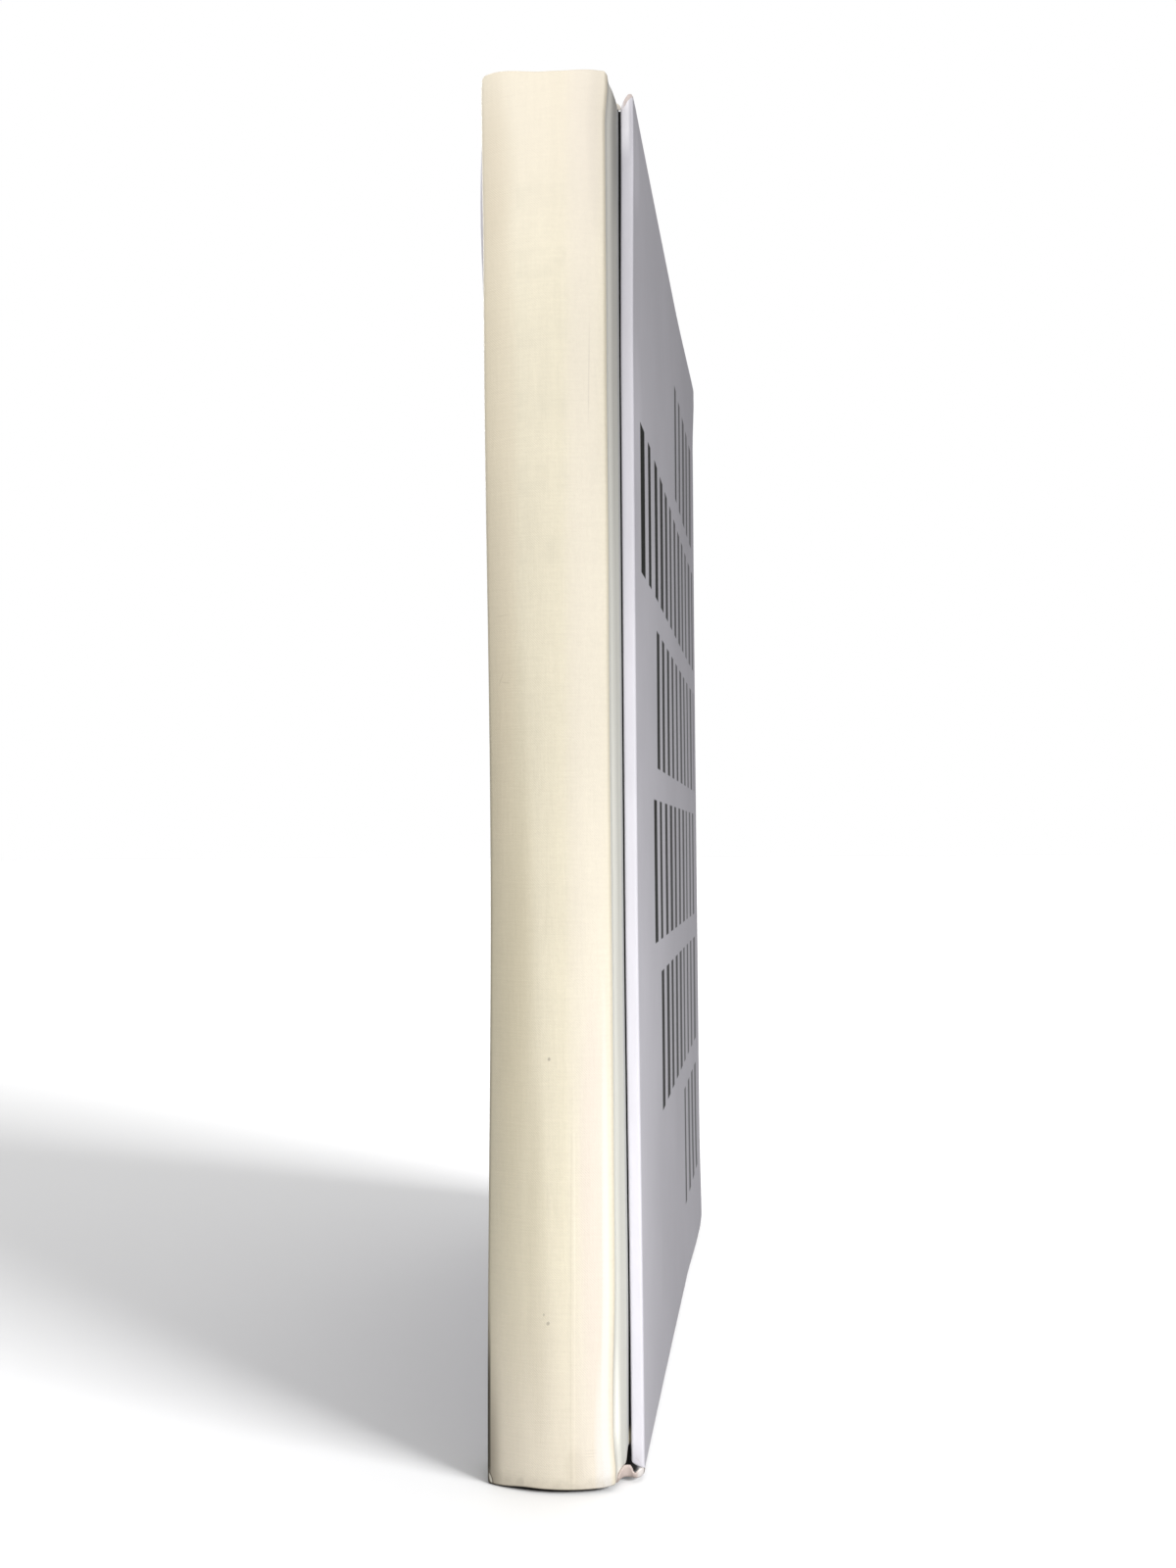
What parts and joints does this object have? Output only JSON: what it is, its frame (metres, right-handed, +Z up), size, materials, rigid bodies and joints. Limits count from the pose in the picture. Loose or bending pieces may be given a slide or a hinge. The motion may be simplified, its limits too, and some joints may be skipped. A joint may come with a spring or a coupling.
{
  "type": "hardback book",
  "caption": "Closed hardback book with a rounded hollow-back spine, deep joint grooves and two covers that open on their joints.",
  "frame": {"origin": "on the surface the book stands on, under the middle of its box", "axes": "+Z up from tail to head, +Y from the spine to the fore edge, +X out of the front cover"},
  "size_m": [0.027, 0.1622, 0.24],
  "materials": {
    "spine_covering": "fine woven paper-cloth, matt, toned cream",
    "cover_covering": "fine woven paper-cloth, matt, cool white, with a plain grey-brown bar design",
    "pages": "cut page edges, matt",
    "endpaper": "smooth uncoated, matt",
    "grey_board": "dense grey board, matt",
    "card": "thin card, matt",
    "lining_paper": "kraft paper, matt",
    "gauze": "open gauze, glued",
    "band_thread": "fine thread bead"
  },
  "bodies": {
    "book_block": {"text_block": "pages", "mull": "gauze", "spine_lining": "lining_paper", "headband": "band_thread", "tailband": "band_thread", "front_flyleaf": "endpaper", "back_flyleaf": "endpaper", "spine_strip": "card", "spine_cloth": "spine_covering"},
    "front_cover": {"front_cloth": "cover_covering", "front_board": "grey_board", "front_pastedown": "endpaper"},
    "back_cover": {"back_cloth": "cover_covering", "back_board": "grey_board", "back_pastedown": "endpaper"}
  },
  "joints": [
    {"name": "front_cover_hinge", "type": "hinge", "parent": "book_block", "child": "front_cover", "pos_m": [0.00996, -0.07634, 0.12], "axis": [0, 0, -1], "range_deg": [0, 180]},
    {"name": "back_cover_hinge", "type": "hinge", "parent": "book_block", "child": "back_cover", "pos_m": [-0.01192, -0.07634, 0.12], "axis": [0, 0, 1], "range_deg": [0, 180]}
  ]
}
